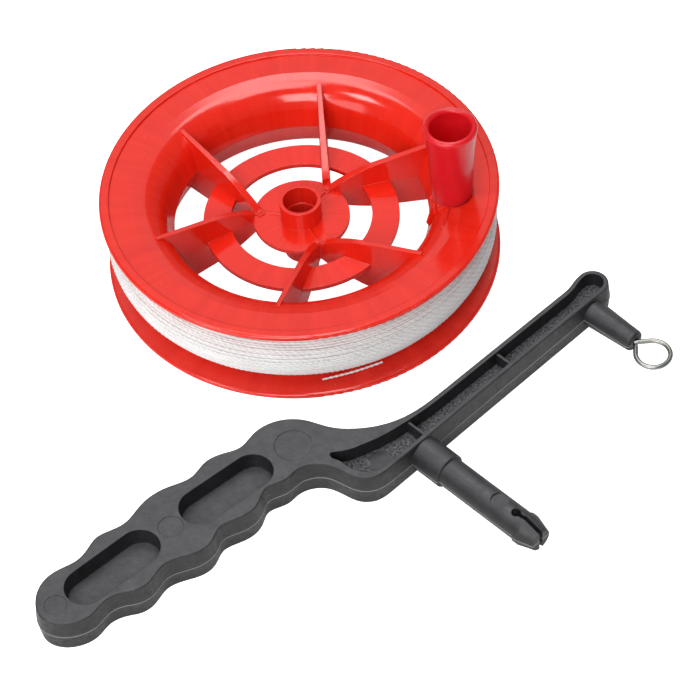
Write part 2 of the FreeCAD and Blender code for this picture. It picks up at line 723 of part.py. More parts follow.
def split_point(start, start_way, end, end_way):
    """Where two arcs meet that leave one point and reach the other in the given directions."""
    span = end - start
    ways = start_way + end_way
    spread = 2 * (1 - start_way.dot(end_way))
    if spread < 1e-9:
        reach = span.dot(span) / (4 * span.dot(end_way))
    else:
        root = math.sqrt(span.dot(ways) ** 2 + spread * span.dot(span))
        reach = (root - span.dot(ways)) / spread
    return (start + end + (start_way - end_way) * reach) * 0.5


def joined_arcs(nodes):
    """Tangent arcs and straight runs through nodes of (x, y, heading in degrees).

    They come back as (point, direction) pairs, one at each end of an arc or a straight run.
    """
    points = [Vector(x, y, 0) for x, y, _ in nodes]
    ways = [Vector(math.cos(math.radians(turn)), math.sin(math.radians(turn)), 0) for _, _, turn in nodes]
    joints = [(points[0], ways[0])]
    for start, start_way, end, end_way in zip(points, ways, points[1:], ways[1:]):
        chord = (end - start).normalize()
        if chord.dot(start_way) < 1 - 1e-9 or chord.dot(end_way) < 1 - 1e-9:
            middle = split_point(start, start_way, end, end_way)
            leaving = (middle - start).normalize()
            joints.append((middle, (leaving * 2 * leaving.dot(start_way) - start_way).normalize()))
        joints.append((end, end_way))
    return joints


def widened(joints, distance):
    """Joints moved to the left of their direction, so that every arc keeps its centre."""
    return [(point + Vector(-way.y, way.x, 0) * distance, way) for point, way in joints]


def contour_curves(joints, contour, distance):
    """The smooth curve through a contour's points that closes a chain of joints, point by point."""
    points = [joints[-1][0]] + [Vector(x, y, 0) for x, y in contour] + [joints[0][0]]
    ends = {"InitialTangent": joints[-1][1], "FinalTangent": joints[0][1], "Scale": False}
    curve = Part.BSplineCurve()
    curve.interpolate(Points=points, **ends)
    places = curve.getKnots()
    ways = [curve.tangent(place)[0] for place in places]
    moved = [point for point, _ in widened(list(zip(points, ways)), distance)]
    curve.interpolate(Points=moved, Parameters=places, **ends)
    curves = []
    for first, last in zip(places, places[1:]):
        span = curve.copy()
        span.segment(first, last)
        curves.append(span)
    return curves


def outline(joints, contour=(), distance=0.0):
    """Curves of a closed outline: its joints' arcs and straight runs, then its free contour."""
    curves = []
    moved = widened(joints, distance)
    for (start, way), (end, _) in zip(moved, moved[1:]):
        chord = end - start
        side = Vector(-way.y, way.x, 0)
        lean = side.dot(chord)
        if abs(lean) < 1e-6 * chord.Length:
            curves.append(Part.LineSegment(start, end))
            continue
        radius = chord.dot(chord) / (2 * lean)
        centre = start + side * radius
        outward = ((start + end) * 0.5 - centre).normalize()
        curves.append(Part.Arc(start, centre + outward * abs(radius), end))
    if contour:
        curves += contour_curves(joints, contour, distance)
    return curves


def stadium(ends, radius):
    """Joints of a long round-ended opening, going round clockwise."""
    first, last = (Vector(*end, 0) for end in ends)
    along = (last - first).normalize()
    heading = math.degrees(math.atan2(along.y, along.x))
    side = Vector(-along.y, along.x, 0) * radius
    corners = ((first + side, heading), (last + side, heading),
               (last - side, heading + 180), (first - side, heading + 180))
    nodes = [(corner.x, corner.y, way) for corner, way in corners]
    return joined_arcs(nodes + nodes[:1])


def arm_end(wall_far, wall_near, end_radius, root):
    """Joints of the arm's far edge, round end and near edge, or of its channel inside those walls."""
    length = number("arm_length")
    offset = number("boss_offset")
    far_root = (number("arm_taper_start"), number("arm_far_root") - wall_far)
    far_tip = (length - number("boss_blend"), number("arm_far_tip") - wall_far)
    near = number("arm_near") + wall_near
    heading = math.degrees(math.atan2(far_tip[1] - far_root[1], far_tip[0] - far_root[0]))
    return joined_arcs([
        (*far_root, heading),
        (*far_tip, heading),
        (length, offset + end_radius, 0),
        (length + end_radius, offset, -90),
        (length, offset - end_radius, 180),
        (length - number("boss_blend"), near, 180),
        (root, near, 180),
    ])


def mould_shell():
    """Outer form of the grip and arm: drafted both ways from the parting line, with rounded face edges."""
    joints = arm_end(0, 0, number("boss_radius"), number("grip_root"))
    half = number("handle_thickness / 2")
    proud = number("parting_proud")
    rounding = number("handle_rounding")
    levels = [(proud, 0.0)]
    for step in range(EDGE_STEPS + 1):
        turned = math.pi / 2 * step / EDGE_STEPS
        inset = rounding * (1 - math.cos(turned))
        height = half - rounding * (1 - math.sin(turned))
        levels.append((proud * (half - height) / half - inset, height))
    levels = [(distance, -height) for distance, height in reversed(levels[1:])] + levels
    rings = []
    for distance, height in levels:
        rings.append([curve.toShape().translated(Vector(0, 0, height))
                      for curve in outline(joints, GRIP_CONTOUR, distance)])
    faces = [Part.makeRuledSurface(*edges) for lower, upper in zip(rings, rings[1:])
             for edges in zip(lower, upper)]
    faces += [Part.Face(Part.Wire(rings[end])) for end in (0, -1)]
    shell = Part.Shell(faces)
    shell.sewShape()
    solid = Part.Solid(shell)
    if solid.Volume < 0:
        solid.reverse()
    form = doc.addObject("Part::Feature", "handle_form")
    form.Shape = solid
    return form


def plan_sketch(body, name, height, curves=()):
    """A sketch parallel to the ground at an expression's height in the body's own frame."""
    sketch = new_sketch(body, name, "XY_Plane", Placement(), AttachmentOffset__Base__z=height)
    for curve in curves:
        sketch.addGeometry(curve)
    return sketch


def mirrored(body, name, features):
    mirror = body.newObject("PartDesign::Mirrored", name)
    mirror.Originals = features
    mirror.MirrorPlane = (role_plane(body, "XY_Plane"), [""])
    body.Tip = mirror


def place_handle_piece(body):
    """Lays a piece of the handle on the ground at the handle's place and turn."""
    body.Placement = Placement(Vector(), Rotation(Vector(0, 0, 1), 1.0))
    bind(body, Placement__Base__x="handle_east", Placement__Base__y="-handle_south",
         Placement__Base__z="handle_thickness / 2", Placement__Rotation__Angle="handle_turn")


STUB_X = "arm_length - stub_place"


def build_handle():
    """The handle, one moulding: drafted grip and channel arm, axle with split snap end, tip stub."""
    body = new_body("handle")
    body.BaseFeature = mould_shell()
    face = "handle_thickness / 2"
    cuts = []
    for name, ends in GRIP_PANELS.items():
        plan = plan_sketch(body, f"{name}_panel_plan", face, outline(stadium(ends, number("grip_panel_radius"))))
        cuts.append(push(body, f"{name}_panel", "Pocket", plan, "grip_panel_depth", draft="-panel_draft"))
    inner = arm_end(number("channel_wall"), number("channel_near_wall"), number("channel_end_radius"),
                    number("channel_root"))
    plan = plan_sketch(body, "channel_plan", face, outline(inner, CHANNEL_CONTOUR))
    cuts.append(push(body, "channel", "Pocket", plan, "(handle_thickness - floor_thickness) / 2"))
    mirrored(body, "lower_face_cuts", cuts)
    for name in ("first", "second"):
        rib = new_sketch(body, f"{name}_cross_rib_plan", "XY_Plane")
        place = f"cross_rib_{name}"
        draw_profile(rib, [
            (place, "arm_near"),
            (f"{place} + cross_rib_thickness", "arm_near"),
            (f"{place} + cross_rib_thickness", "arm_far_tip"),
            (place, "arm_far_tip"),
        ])
        push(body, f"{name}_cross_rib", "Pad", rib, "handle_thickness - 2 * cross_rib_sink", both_ways=True)
    # Axle: collar, shaft, snap barbs and tapered prongs, with the slot that lets the prongs close.
    reach = "axle_barb_place + axle_barb_length"
    axle = new_sketch(body, "axle_section", "XY_Plane")
    draw_profile(axle, [
        ("0", "arm_near + channel_near_wall"),
        ("collar_radius", "arm_near + channel_near_wall"),
        ("collar_radius", "collar_chamfer"),
        ("collar_radius - collar_chamfer", "0"),
        ("axle_radius", "0"),
        ("axle_radius", "-axle_barb_place"),
        ("axle_barb_radius", "-axle_barb_place"),
        ("axle_barb_radius", f"-({reach})"),
        ("axle_tip_radius", "-axle_length"),
        ("0", "-axle_length"),
    ])
    turn(body, "axle", "Revolution", axle)
    slot = new_sketch(body, "slot_plan", "XY_Plane")
    draw_profile(slot, [
        ("-axle_slot_width / 2", "-keyhole_place"),
        ("axle_slot_width / 2", "-keyhole_place"),
        ("axle_slot_width / 2", "-axle_length - axle_slot_width"),
        ("-axle_slot_width / 2", "-axle_length - axle_slot_width"),
    ])
    push(body, "snap_slot", "Pocket", slot, "4 * axle_radius", both_ways=True)
    keyhole = new_sketch(body, "keyhole_plan", "XY_Plane")
    draw_circle(keyhole, "0", "-keyhole_place", "keyhole_radius")
    push(body, "keyhole", "Pocket", keyhole, "4 * axle_radius", both_ways=True)
    dimple = plan_sketch(body, "dimple_plan", "axle_radius - dimple_depth")
    draw_circle(dimple, "0", "-dimple_place", "dimple_radius")
    push(body, "dimple", "Pocket", dimple, "axle_radius", reverse=True)
    # Ejector pins' round marks, on the upper face of the grip and on the channel's floor.
    grip_marks = plan_sketch(body, "grip_mark_plan", face)
    for x, y, radius in GRIP_MARKS:
        draw_circle(grip_marks, x, y, radius)
    push(body, "grip_marks", "Pocket", grip_marks, "ejector_mark_depth")
    floor_mark = plan_sketch(body, "floor_mark_plan", "floor_thickness / 2")
    draw_circle(floor_mark, *FLOOR_MARK)
    push(body, "floor_mark", "Pocket", floor_mark, "ejector_mark_depth")
    # Stub at the tip with the screw eye's countersunk pilot hole.
    tip = "-stub_reach"
    stub = new_sketch(body, "stub_section", "XY_Plane", Placement(), AttachmentOffset__Base__x=STUB_X)
    draw_profile(stub, [
        ("0", "arm_near + channel_near_wall"),
        ("stub_root_radius", "arm_near + channel_near_wall"),
        ("stub_tip_radius", f"{tip} + stub_rounding"),
        ("stub_tip_radius - 0.3 * stub_rounding", f"{tip} + 0.3 * stub_rounding", "through"),
        ("stub_tip_radius - stub_rounding", tip),
        ("eye_wire_radius + thread_fit + eye_countersink_width", tip),
        ("eye_wire_radius + thread_fit", f"{tip} + eye_countersink_depth"),
        ("eye_wire_radius + thread_fit", f"{tip} + eye_shank_length"),
        ("0", f"{tip} + eye_shank_length"),
    ])
    turn(body, "stub", "Revolution", stub)
    place_handle_piece(body)
    return body


def build_eye():
    """Screw eye of one bent wire: shank in the stub, a bend, and a drop-shaped ring back to the stub."""
    body = new_body("screw_eye")
    lean = "asin(eye_ring_radius / eye_drop)"
    leg = "sqrt(eye_drop ^ 2 - eye_ring_radius ^ 2)"
    lean_angle = math.radians(number(lean))
    leg_length = number(leg)
    bend = number("eye_bend_radius")
    reach = bend * math.tan(lean_angle / 2)
    apex = Vector(0, -number("stub_reach"), 0)
    centre = apex - Vector(0, number("eye_drop"), 0)
    leg_way = Vector(math.sin(lean_angle), -math.cos(lean_angle), 0)
    back_way = Vector(-leg_way.x, leg_way.y, 0)
    shank_top = apex + Vector(0, number("eye_shank_length") - number("thread_fit"), 0)
    bend_start = apex + Vector(0, reach, 0)
    bend_end = apex + leg_way * reach
    towards = (leg_way + Vector(0, 1, 0)).normalize()
    bend_middle = apex + towards * (bend / math.cos(lean_angle / 2) - bend)
    ring_start = apex + leg_way * leg_length
    ring_end = apex + back_way * leg_length
    ring_bottom = centre - Vector(0, number("eye_ring_radius"), 0)
    cut_end = apex + back_way * number("eye_end_gap")
    path = new_sketch(body, "wire_path", "XY_Plane", Placement(), AttachmentOffset__Base__x=STUB_X)
    path.addGeometry([
        Part.LineSegment(shank_top, bend_start),
        Part.Arc(bend_start, bend_middle, bend_end),
        Part.LineSegment(bend_end, ring_start),
        Part.Arc(ring_start, ring_bottom, ring_end),
        Part.LineSegment(ring_end, cut_end),
    ])
    section = new_sketch(body, "wire_section", "XZ_Plane", Placement(),
                         AttachmentOffset__Base__x=STUB_X,
                         AttachmentOffset__Base__z="stub_reach - eye_shank_length + thread_fit")
    draw_circle(section, "0", "0", "eye_wire_radius")
    wire = body.newObject("PartDesign::AdditivePipe", "wire")
    wire.Profile = section
    wire.Spine = path
    place_handle_piece(body)
    return body


PIECES = [
    build_front_half(),
    build_back_half(),
    build_knob(),
    build_washer(),
    build_screw(),
    build_winding(),
    cord_tube("line_tail", TAIL_ROUTE, number("line_diameter / 2")),
    build_handle(),
    build_eye(),
]
doc.recompute()
for item in doc.Objects:
    if {"Invalid", "Error"} & set(item.State):
        raise RuntimeError(f"{item.Label} failed: {item.State}")
os.makedirs("parts", exist_ok=True)
for piece in PIECES:
    if piece.Shape.isNull() or not piece.Shape.isValid():
        raise RuntimeError(f"{piece.Label} has no valid shape")
    solids = len(piece.Shape.Solids)
    print(f"{piece.Label}: {solids} solid, {piece.Shape.Volume / 1000:.2f} cm3, {len(piece.Shape.Faces)} faces")
    piece.Shape.exportStep(f"parts/{piece.Label}.step")
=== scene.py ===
import bpy
import bmesh
from math import cos, pi, radians, sin
from mathutils import Matrix, Vector


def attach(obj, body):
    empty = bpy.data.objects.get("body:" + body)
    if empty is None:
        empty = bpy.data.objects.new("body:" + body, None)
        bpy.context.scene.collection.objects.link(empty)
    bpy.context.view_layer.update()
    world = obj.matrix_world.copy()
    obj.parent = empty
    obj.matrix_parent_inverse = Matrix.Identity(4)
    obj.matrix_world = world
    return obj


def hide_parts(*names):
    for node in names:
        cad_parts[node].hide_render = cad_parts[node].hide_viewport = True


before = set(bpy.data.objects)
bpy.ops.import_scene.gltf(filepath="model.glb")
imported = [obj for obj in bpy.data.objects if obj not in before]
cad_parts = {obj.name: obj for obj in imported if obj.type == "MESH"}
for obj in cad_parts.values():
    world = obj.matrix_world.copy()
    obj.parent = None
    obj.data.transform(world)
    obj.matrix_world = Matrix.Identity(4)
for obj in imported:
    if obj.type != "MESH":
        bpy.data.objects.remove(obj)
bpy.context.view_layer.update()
mm = 0.001
print("frame loaded:", len(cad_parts), "nodes")


def srgb(code):
    # "#rrggbb" as the linear colour that the shaders want
    values = [int(code[i:i + 2], 16) / 255 for i in (1, 3, 5)]
    return [v / 12.92 if v <= 0.04045 else ((v + 0.055) / 1.055) ** 2.4 for v in values] + [1.0]


def perMetre(size):
    # a pattern's scale from the width of its swells in mm
    return 1 / (size * mm)


def addNode(tree, kind, inputs=None, **settings):
    # settings are the node's own options; an input is a value, a "#rrggbb" colour, a socket, or a node that
    # feeds it from its first live output
    node = tree.nodes.new(kind)
    for name, value in settings.items():
        setattr(node, name, value)
    for name, value in (inputs or {}).items():
        if isinstance(value, bpy.types.Node):
            value = next(socket for socket in value.outputs if socket.enabled)
        if isinstance(value, bpy.types.NodeSocket):
            tree.links.new(value, node.inputs[name])
        else:
            node.inputs[name].default_value = srgb(value) if isinstance(value, str) else value
    return node


def newMaterial(name):
    material = bpy.data.materials.new(name)
    material.use_nodes = True
    material.node_tree.nodes.clear()
    return material, material.node_tree


def meshObject(name, build, material, smooth=True):
    # build fills an empty bmesh in metres
    shape = bmesh.new()
    build(shape)
    mesh = bpy.data.meshes.new(name)
    shape.to_mesh(mesh)
    shape.free()
    for face in mesh.polygons:
        face.use_smooth = smooth
    piece = bpy.data.objects.new(name, mesh)
    bpy.context.scene.collection.objects.link(piece)
    mesh.materials.append(material)
    return piece


def lathe(shape, profile, segments):
    # turns a closed (radius, height) profile, in mm, round the hub's axis
    rings = []
    for k in range(segments):
        turn = 2 * pi * k / segments
        corners = [(mm * r * cos(turn), mm * r * sin(turn), mm * z) for r, z in profile]
        rings.append([shape.verts.new(corner) for corner in corners])
    for k, ring in enumerate(rings):
        ahead = rings[(k + 1) % segments]
        for j in range(len(profile)):
            following = (j + 1) % len(profile)
            shape.faces.new((ring[j], ahead[j], ahead[following], ring[following]))
    bmesh.ops.recalc_face_normals(shape, faces=shape.faces)


# camera at the viewing angle
view = {
    "place": (0.018626, -0.885732, 0.964191),    # m
    "tiltDown": 49.80,                           # degrees
    "roll": -4.87,
    "lens": 131.51,                              # mm
    "sensor": 36.0,
    "farthest": 20.0,                            # m
}

cameraData = bpy.data.cameras.new("viewCamera")
cameraData.lens = view["lens"]
cameraData.sensor_width = view["sensor"]
cameraData.clip_end = view["farthest"]
camera = bpy.data.objects.new("viewCamera", cameraData)
lookDown = Matrix.Rotation(radians(90 - view["tiltDown"]), 4, "X")
lean = Matrix.Rotation(radians(view["roll"]), 4, "Z")
camera.matrix_world = Matrix.Translation(view["place"]) @ lookDown @ lean
bpy.context.scene.collection.objects.link(camera)
bpy.context.scene.camera = camera
print("camera placed")


# twisted line: the same twine is on the reel and in its loose end
twine = {
    "diameter": 1.4,       # mm over both plies
    "plySquash": 0.66,     # how flat the two plies lie side by side
    "layLength": 5.2,      # mm for one full twist
    "sides": 6,
    "pliesRound": 170,     # ply crests round the reel, each with a painted highlight, coarser than the real ones so that they show
    "plyRise": 3.0,        # mm that a crest climbs before the next one starts
    "plyStray": 1.2,       # how far the crests wander
    "paintedPlySheenShare": 0.22,      # how much the painted highlight on the ply crests and the painted shade between them colour the line, beside its streaks
    "plyRelief": 0.15,     # mm
    "bump": 0.25,
    "streakWidth": 1.1,    # mm across a streak
    "streakChanges": 5.0,  # changes along a streak for each radian round the reel
    # painted shade for the valleys between the plies and painted highlight for their crests; the streaks use
    # the same two tones
    "tones": ("#e6e1e1", "#fffefd"),
    "roughness": 0.36,
    "scatter": 0.3,
    "scatterReach": (0.8, 0.8, 0.8),
    "scatterDepth": 0.6,   # mm that light goes into the fibres
}


def makeTwineMaterial():
    # Twisted polyester twine, spun white and lightly waxed: pale plies with a soft sheen and a painted
    # highlight on their crests, painted shade in the grey valleys between them, and lighter and darker
    # streaks along it
    material, tree = newMaterial("polyesterTwine")
    place = addNode(tree, "ShaderNodeTexCoord").outputs["Object"]
    parts = addNode(tree, "ShaderNodeSeparateXYZ", {0: place}).outputs
    heading = addNode(tree, "ShaderNodeMath", {0: parts["Y"], 1: parts["X"]}, operation="ARCTAN2")
    unrolled = addNode(tree, "ShaderNodeCombineXYZ", {"X": heading, "Y": parts["Z"]})
    streakPlace = addNode(tree, "ShaderNodeVectorMath", {
        0: unrolled, 1: (twine["streakChanges"], perMetre(twine["streakWidth"]), 0)}, operation="MULTIPLY")
    streaks = addNode(tree, "ShaderNodeTexNoise", {
        "Vector": streakPlace, "Scale": 1.0, "Detail": 3.0, "Roughness": 0.6})
    # a diagonal wave has a crest for each 2 pi / 10 of its place
    plyPlace = addNode(tree, "ShaderNodeVectorMath", {
        0: unrolled, 1: (twine["pliesRound"] / 10, 2 * pi / 10 * perMetre(twine["plyRise"]), 0)},
        operation="MULTIPLY")
    plies = addNode(tree, "ShaderNodeTexWave", {
        "Vector": plyPlace, "Scale": 1.0, "Distortion": twine["plyStray"], "Detail": 1.0,
        "Detail Scale": 0.6}, wave_type="BANDS", bands_direction="DIAGONAL").outputs["Fac"]
    # painted highlight on the ply crests and painted shade between them, added to the streaks
    paintedSheenAndStreaks = addNode(tree, "ShaderNodeMath", {
        0: plies, 1: twine["paintedPlySheenShare"], 2: streaks}, operation="MULTIPLY_ADD")
    share = addNode(tree, "ShaderNodeMapRange", {"Value": paintedSheenAndStreaks, "From Min": 0.35, "From Max": 0.75})
    dull, bright = twine["tones"]
    tone = addNode(tree, "ShaderNodeMix", {"Factor": share, "A": dull, "B": bright}, data_type="RGBA")
    relief = addNode(tree, "ShaderNodeBump", {
        "Height": plies, "Strength": twine["bump"], "Distance": twine["plyRelief"] * mm})
    shader = addNode(tree, "ShaderNodeBsdfPrincipled", {
        "Base Color": tone, "Roughness": twine["roughness"], "Normal": relief,
        "Subsurface Weight": twine["scatter"], "Subsurface Radius": twine["scatterReach"],
        "Subsurface Scale": twine["scatterDepth"] * mm})
    addNode(tree, "ShaderNodeOutputMaterial", {"Surface": shader})
    return material


twineMaterial = makeTwineMaterial()

# the loose end leaves the winding over the back flange
tail = {
    "route": [(34.0, -84.4, 4.85), (24.0, -87.8, 4.85), (14.2, -90.4, 4.85), (4.0, -92.2, 4.85)],    # mm
    "length": 0.031,    # m
    "fineness": 24,     # steps for each span of the route
}


def routeCurve(name, route):
    curve = bpy.data.curves.new(name, "CURVE")
    curve.dimensions = "3D"
    curve.resolution_u = tail["fineness"]
    spline = curve.splines.new("NURBS")
    spline.points.add(len(route) - 1)
    for point, place in zip(spline.points, route):
        point.co = (*(mm * value for value in place), 1)
    spline.order_u = 3
    spline.use_endpoint_u = True
    return curve


def pointsAlong(curve):
    # the points that the spline itself gives
    holder = bpy.data.objects.new("routeHolder", curve)
    mesh = bpy.data.meshes.new_from_object(holder)
    points = [vertex.co.copy() for vertex in mesh.vertices]
    bpy.data.meshes.remove(mesh)
    bpy.data.objects.remove(holder)
    return points


def twistedTube(shape, points):
    # an oval section of two plies that turns as it follows the points
    radius = twine["diameter"] / 2 * mm
    travelled = 0.0
    rings = []
    side = Vector((0, 0, 1))
    for k, point in enumerate(points):
        way = (points[min(k + 1, len(points) - 1)] - points[max(k - 1, 0)]).normalized()
        if k:
            travelled += (point - points[k - 1]).length
        across = way.cross(side).normalized()
        up = across.cross(way)
        turn = 2 * pi * travelled / (twine["layLength"] * mm)
        ring = []
        for j in range(twine["sides"]):
            angle = 2 * pi * j / twine["sides"]
            flat = Vector((radius * cos(angle), radius * twine["plySquash"] * sin(angle)))
            flat.rotate(Matrix.Rotation(turn, 2))
            ring.append(shape.verts.new(point + across * flat.x + up * flat.y))
        rings.append(ring)
    for ring, ahead in zip(rings, rings[1:]):
        for j in range(len(ring)):
            following = (j + 1) % len(ring)
            shape.faces.new((ring[j], ring[following], ahead[following], ahead[j]))
    shape.faces.new(rings[0][::-1])
    shape.faces.new(rings[-1])
    bmesh.ops.recalc_face_normals(shape, faces=shape.faces)


tailPoints = pointsAlong(routeCurve("tailRoute", tail["route"]))
lineTail = meshObject("lineTail", lambda shape: twistedTube(shape, tailPoints), twineMaterial)
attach(lineTail, "reel")
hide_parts("line_tail")
print("loose end laid")


# wound line on the reel
winding = {
    "middleHeight": 23.05,   # mm above the ground
    "halfWidth": 17.9,       # from the middle to the outermost turn
    "radius": 97.8,          # centre line of the widest turn
    "fallAtEdge": 11.0,      # how much smaller the outermost turns are
    "turns": 32,
    "pointsPerTurn": 440,
    "wander": 0.6,           # mm that a turn strays along the axle
    "wanderWaves": 3.1,      # for each metre of line
    "heap": 0.4,             # mm that a turn rides up on its neighbours
    "heapWaves": 4.3,
    "coreDepth": 0.45,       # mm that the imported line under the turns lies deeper
    "coreInside": 84.0,      # mm radius
    "coreSegments": 160,
    "coreSteps": 16,
}


def makeWindingTree():
    tree = bpy.data.node_groups.new("windLine", "GeometryNodeTree")
    sizes = {"Turns": ("NodeSocketFloat", winding["turns"]),
             "Points Per Turn": ("NodeSocketInt", winding["pointsPerTurn"]),
             "Radius": ("NodeSocketFloat", winding["radius"] * mm),
             "Half Width": ("NodeSocketFloat", winding["halfWidth"] * mm),
             "Fall At Edge": ("NodeSocketFloat", winding["fallAtEdge"] * mm),
             "Middle Height": ("NodeSocketFloat", winding["middleHeight"] * mm),
             "Wander": ("NodeSocketFloat", winding["wander"] * mm),
             "Wander Waves": ("NodeSocketFloat", winding["wanderWaves"]),
             "Heap": ("NodeSocketFloat", winding["heap"] * mm),
             "Heap Waves": ("NodeSocketFloat", winding["heapWaves"]),
             "Line Diameter": ("NodeSocketFloat", twine["diameter"] * mm),
             "Ply Squash": ("NodeSocketFloat", twine["plySquash"]),
             "Lay Length": ("NodeSocketFloat", twine["layLength"] * mm)}
    tree.interface.new_socket("Geometry", in_out="OUTPUT", socket_type="NodeSocketGeometry")
    for name, (kind, value) in sizes.items():
        tree.interface.new_socket(name, in_out="INPUT", socket_type=kind).default_value = value
    given = addNode(tree, "NodeGroupInput").outputs
    fullWidth = addNode(tree, "ShaderNodeMath", {0: given["Half Width"], 1: 2.0}, operation="MULTIPLY")
    spiral = addNode(tree, "GeometryNodeCurveSpiral", {
        "Resolution": given["Points Per Turn"], "Rotations": given["Turns"], "Start Radius": given["Radius"],
        "End Radius": given["Radius"], "Height": fullWidth})
    place = addNode(tree, "GeometryNodeInputPosition")
    parts = addNode(tree, "ShaderNodeSeparateXYZ", {0: place}).outputs
    along = addNode(tree, "GeometryNodeSplineParameter").outputs["Length"]

    # slow wandering along the axle, from a noise along the line's own length
    wave = addNode(tree, "ShaderNodeMath", {0: along, 1: given["Wander Waves"]}, operation="MULTIPLY")
    noise = addNode(tree, "ShaderNodeTexNoise", {
        "W": wave, "Scale": 1.0, "Detail": 2.0}, noise_dimensions="1D")
    stray = addNode(tree, "ShaderNodeMath", {0: noise, 1: 0.5}, operation="SUBTRACT")
    reach = addNode(tree, "ShaderNodeMath", {0: given["Wander"], 1: 2.0}, operation="MULTIPLY")
    sway = addNode(tree, "ShaderNodeMath", {0: stray, 1: reach}, operation="MULTIPLY")
    level = addNode(tree, "ShaderNodeMath", {0: parts["Z"], 1: given["Half Width"]}, operation="SUBTRACT")
    height = addNode(tree, "ShaderNodeMath", {0: level, 1: sway}, operation="ADD")

    # heaping outwards, from a second noise
    wave = addNode(tree, "ShaderNodeMath", {0: along, 1: given["Heap Waves"]}, operation="MULTIPLY")
    noise = addNode(tree, "ShaderNodeTexNoise", {
        "W": wave, "Scale": 1.0, "Detail": 3.0}, noise_dimensions="1D")
    lift = addNode(tree, "ShaderNodeMath", {0: noise, 1: 0.5}, operation="SUBTRACT")
    reach = addNode(tree, "ShaderNodeMath", {0: given["Heap"], 1: 2.0}, operation="MULTIPLY")
    heap = addNode(tree, "ShaderNodeMath", {0: lift, 1: reach}, operation="MULTIPLY")

    # the turns lie on a barrel: its radius falls with the square of the height
    share = addNode(tree, "ShaderNodeMath", {0: height, 1: given["Half Width"]}, operation="DIVIDE")
    square = addNode(tree, "ShaderNodeMath", {0: share, 1: share}, operation="MULTIPLY")
    fall = addNode(tree, "ShaderNodeMath", {0: square, 1: given["Fall At Edge"]}, operation="MULTIPLY")
    even = addNode(tree, "ShaderNodeMath", {0: given["Radius"], 1: fall}, operation="SUBTRACT")
    radius = addNode(tree, "ShaderNodeMath", {0: even, 1: heap}, operation="ADD")
    scale = addNode(tree, "ShaderNodeMath", {0: radius, 1: given["Radius"]}, operation="DIVIDE")
    x = addNode(tree, "ShaderNodeMath", {0: parts["X"], 1: scale}, operation="MULTIPLY")
    y = addNode(tree, "ShaderNodeMath", {0: parts["Y"], 1: scale}, operation="MULTIPLY")
    z = addNode(tree, "ShaderNodeMath", {0: height, 1: given["Middle Height"]}, operation="ADD")
    moved = addNode(tree, "ShaderNodeCombineXYZ", {"X": x, "Y": y, "Z": z})
    laid = addNode(tree, "GeometryNodeSetPosition", {"Geometry": spiral, "Position": moved})

    # the oval section of the two plies turns as it goes
    twists = addNode(tree, "ShaderNodeMath", {0: along, 1: given["Lay Length"]}, operation="DIVIDE")
    turn = addNode(tree, "ShaderNodeMath", {0: twists, 1: 2 * pi}, operation="MULTIPLY")
    twisted = addNode(tree, "GeometryNodeSetCurveTilt", {"Curve": laid, "Tilt": turn})
    lineRadius = addNode(tree, "ShaderNodeMath", {0: given["Line Diameter"], 1: 2.0}, operation="DIVIDE")
    section = addNode(tree, "GeometryNodeCurvePrimitiveCircle", {
        "Resolution": twine["sides"], "Radius": lineRadius})
    flat = addNode(tree, "ShaderNodeCombineXYZ", {"X": 1.0, "Y": given["Ply Squash"], "Z": 1.0})
    oval = addNode(tree, "GeometryNodeTransform", {"Geometry": section, "Scale": flat})
    swept = addNode(tree, "GeometryNodeCurveToMesh", {
        "Curve": twisted, "Profile Curve": oval, "Fill Caps": True})
    smooth = addNode(tree, "GeometryNodeSetShadeSmooth", {"Geometry": swept})
    real = addNode(tree, "GeometryNodeRealizeInstances", {"Geometry": smooth})
    coloured = addNode(tree, "GeometryNodeSetMaterial", {"Geometry": real, "Material": twineMaterial})
    addNode(tree, "NodeGroupOutput", {"Geometry": coloured})
    return tree


def madeByNodes(name, tree):
    # runs the tree on an empty mesh and keeps the result as a plain mesh
    piece = bpy.data.objects.new(name, bpy.data.meshes.new(name + "Start"))
    bpy.context.scene.collection.objects.link(piece)
    modifier = piece.modifiers.new("nodes", "NODES")
    modifier.node_group = tree
    for socket in tree.interface.items_tree:
        if socket.in_out == "INPUT":
            modifier[socket.identifier] = socket.default_value
    bpy.context.view_layer.update()
    evaluated = piece.evaluated_get(bpy.context.evaluated_depsgraph_get())
    mesh = bpy.data.meshes.new_from_object(evaluated)
    piece.modifiers.clear()
    piece.data = mesh
    mesh.name = name
    return piece


def barrel(height, depth):
    # radius of the wound line's surface at a height, less a depth
    share = (height - winding["middleHeight"]) / winding["halfWidth"]
    return winding["radius"] - winding["fallAtEdge"] * share ** 2 - depth


def buildCore(shape):
    low = winding["middleHeight"] - winding["halfWidth"]
    steps = winding["coreSteps"]
    heights = [low + 2 * winding["halfWidth"] * k / steps for k in range(steps + 1)]
    profile = [(barrel(z, winding["coreDepth"]), z) for z in heights]
    profile += [(winding["coreInside"], heights[-1]), (winding["coreInside"], heights[0])]
    lathe(shape, profile, winding["coreSegments"])


woundTurns = madeByNodes("woundTurns", makeWindingTree())
woundCore = meshObject("woundCore", buildCore, twineMaterial)
for piece in (woundTurns, woundCore):
    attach(piece, "reel")
    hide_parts("line_winding")
print("line wound:", len(woundTurns.data.polygons), "faces")


